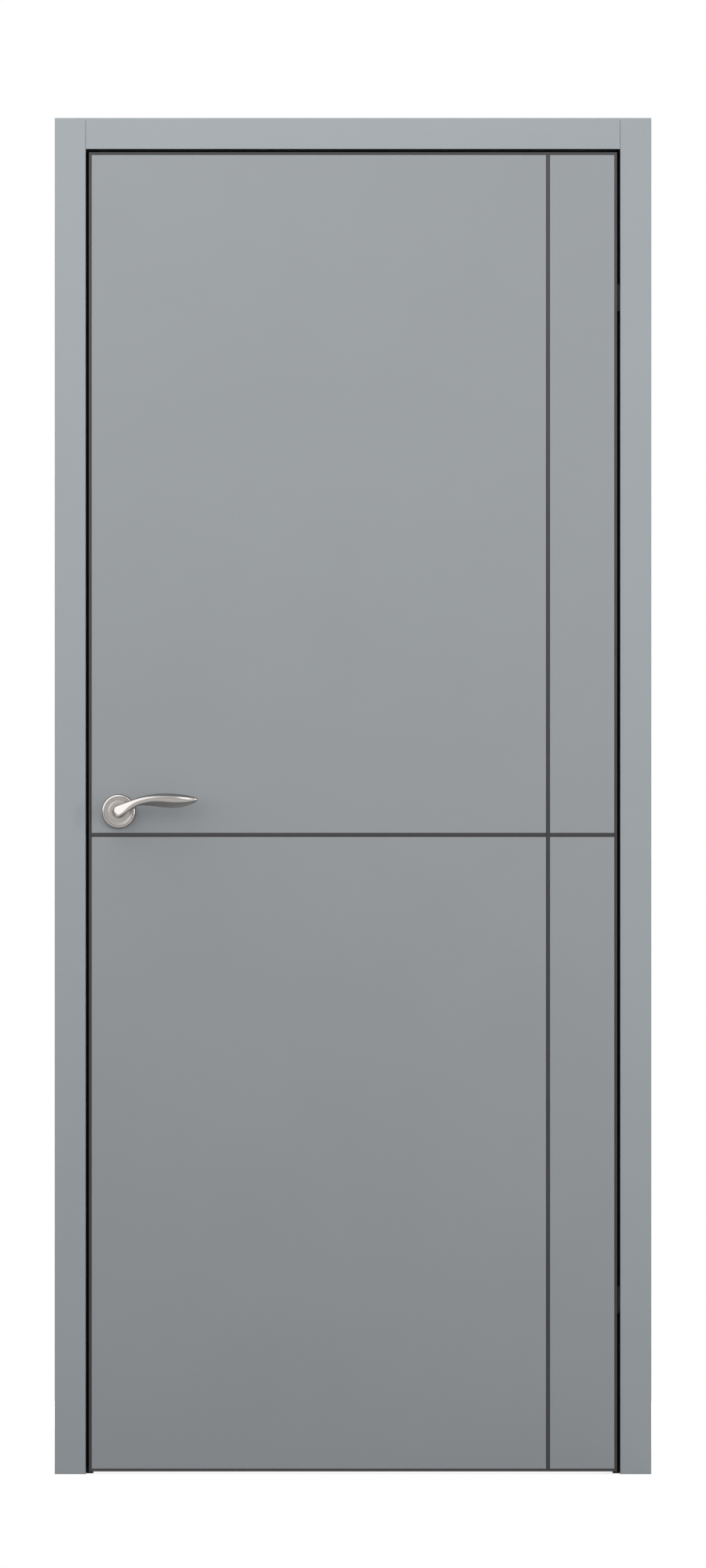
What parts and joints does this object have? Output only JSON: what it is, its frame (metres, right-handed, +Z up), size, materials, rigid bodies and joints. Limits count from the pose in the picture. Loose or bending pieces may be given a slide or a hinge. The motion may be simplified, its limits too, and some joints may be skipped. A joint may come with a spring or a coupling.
{
  "type": "interior door",
  "caption": "Flush interior door in a rebated frame with casings, grey panels parted by black inlaid mouldings, black edge profiles, concealed hinges and lever handles on round roses.",
  "frame": {"origin": "on the wall face of the hinge jamb, at floor level, halfway through the wall", "axes": "+Z up, +X out of the hinge jamb's wall face, the front of the leaf faces -Y"},
  "size_m": [0.904, 0.1728, 2.056],
  "materials": {
    "grey_enamel": "matt grey enamel on fibreboard",
    "core_board": "raw board",
    "black_aluminium": "black anodised, satin",
    "satin_nickel": "satin nickel plate",
    "satin_steel": "satin chrome plate",
    "black_zinc": "die cast zinc with a black coating",
    "plain_steel": "bright steel",
    "seal_rubber": "black rubber"
  },
  "bodies": {
    "frame": {"hinge_jamb": "grey_enamel", "latch_jamb": "grey_enamel", "head_jamb": "grey_enamel", "front_casing_hinge": "grey_enamel", "front_casing_latch": "grey_enamel", "front_casing_head": "grey_enamel", "back_casing_hinge": "grey_enamel", "back_casing_latch": "grey_enamel", "back_casing_head": "grey_enamel", "seal_hinge": "seal_rubber", "seal_latch": "seal_rubber", "seal_head": "seal_rubber", "strike_plate": "satin_steel", "upper_hinge_jamb_cup": "black_zinc", "lower_hinge_jamb_cup": "black_zinc"},
    "leaf": {"leaf_core": "core_board", "front_panel_upper_wide": "grey_enamel", "front_panel_upper_narrow": "grey_enamel", "front_panel_lower_wide": "grey_enamel", "front_panel_lower_narrow": "grey_enamel", "back_panel_upper_wide": "grey_enamel", "back_panel_upper_narrow": "grey_enamel", "back_panel_lower_wide": "grey_enamel", "back_panel_lower_narrow": "grey_enamel", "front_moulding_upright": "black_aluminium", "front_moulding_cross": "black_aluminium", "back_moulding_upright": "black_aluminium", "back_moulding_cross": "black_aluminium", "edge_profile_latch": "black_aluminium", "edge_profile_hinge": "black_aluminium", "edge_profile_top": "black_aluminium", "edge_profile_bottom": "black_aluminium", "latch_plate": "satin_steel", "latch_bolt": "plain_steel", "front_rose": "satin_nickel", "back_rose": "satin_nickel", "upper_hinge_leaf_cup": "black_zinc", "lower_hinge_leaf_cup": "black_zinc"},
    "handle": {"front_lever": "satin_nickel", "back_lever": "satin_nickel", "spindle": "plain_steel"},
    "hinge_outer_arms": {"upper_hinge_outer_arms": "black_zinc", "lower_hinge_outer_arms": "black_zinc"},
    "hinge_inner_arms": {"upper_hinge_inner_arm": "black_zinc", "lower_hinge_inner_arm": "black_zinc"}
  },
  "joints": [
    {"name": "leaf_swing", "type": "hinge", "parent": "frame", "child": "leaf", "pos_m": [-0.0345, -0.063, 1], "axis": [0, 0, 1], "range_deg": [0, 120]},
    {"name": "lever_turn", "type": "hinge", "parent": "leaf", "child": "handle", "pos_m": [-0.792, -0.04, 1.005], "axis": [0, 1, 0], "range_deg": [0, 40], "stiffness_Nm_per_rad": 1.2, "springref_deg": -34.38},
    {"name": "outer_arms_turn", "type": "hinge", "parent": "frame", "child": "hinge_outer_arms", "pos_m": [-0.0345, -0.063, 1], "axis": [0, 0, 1], "range_deg": [0, 40]},
    {"name": "inner_arms_turn", "type": "hinge", "parent": "frame", "child": "hinge_inner_arms", "pos_m": [-0.0345, -0.063, 1], "axis": [0, 0, 1], "range_deg": [0, 80]}
  ],
  "couplings": [
    {"joint": "outer_arms_turn", "follows": "leaf_swing", "ratio": 0.33333},
    {"joint": "inner_arms_turn", "follows": "leaf_swing", "ratio": 0.66667}
  ]
}
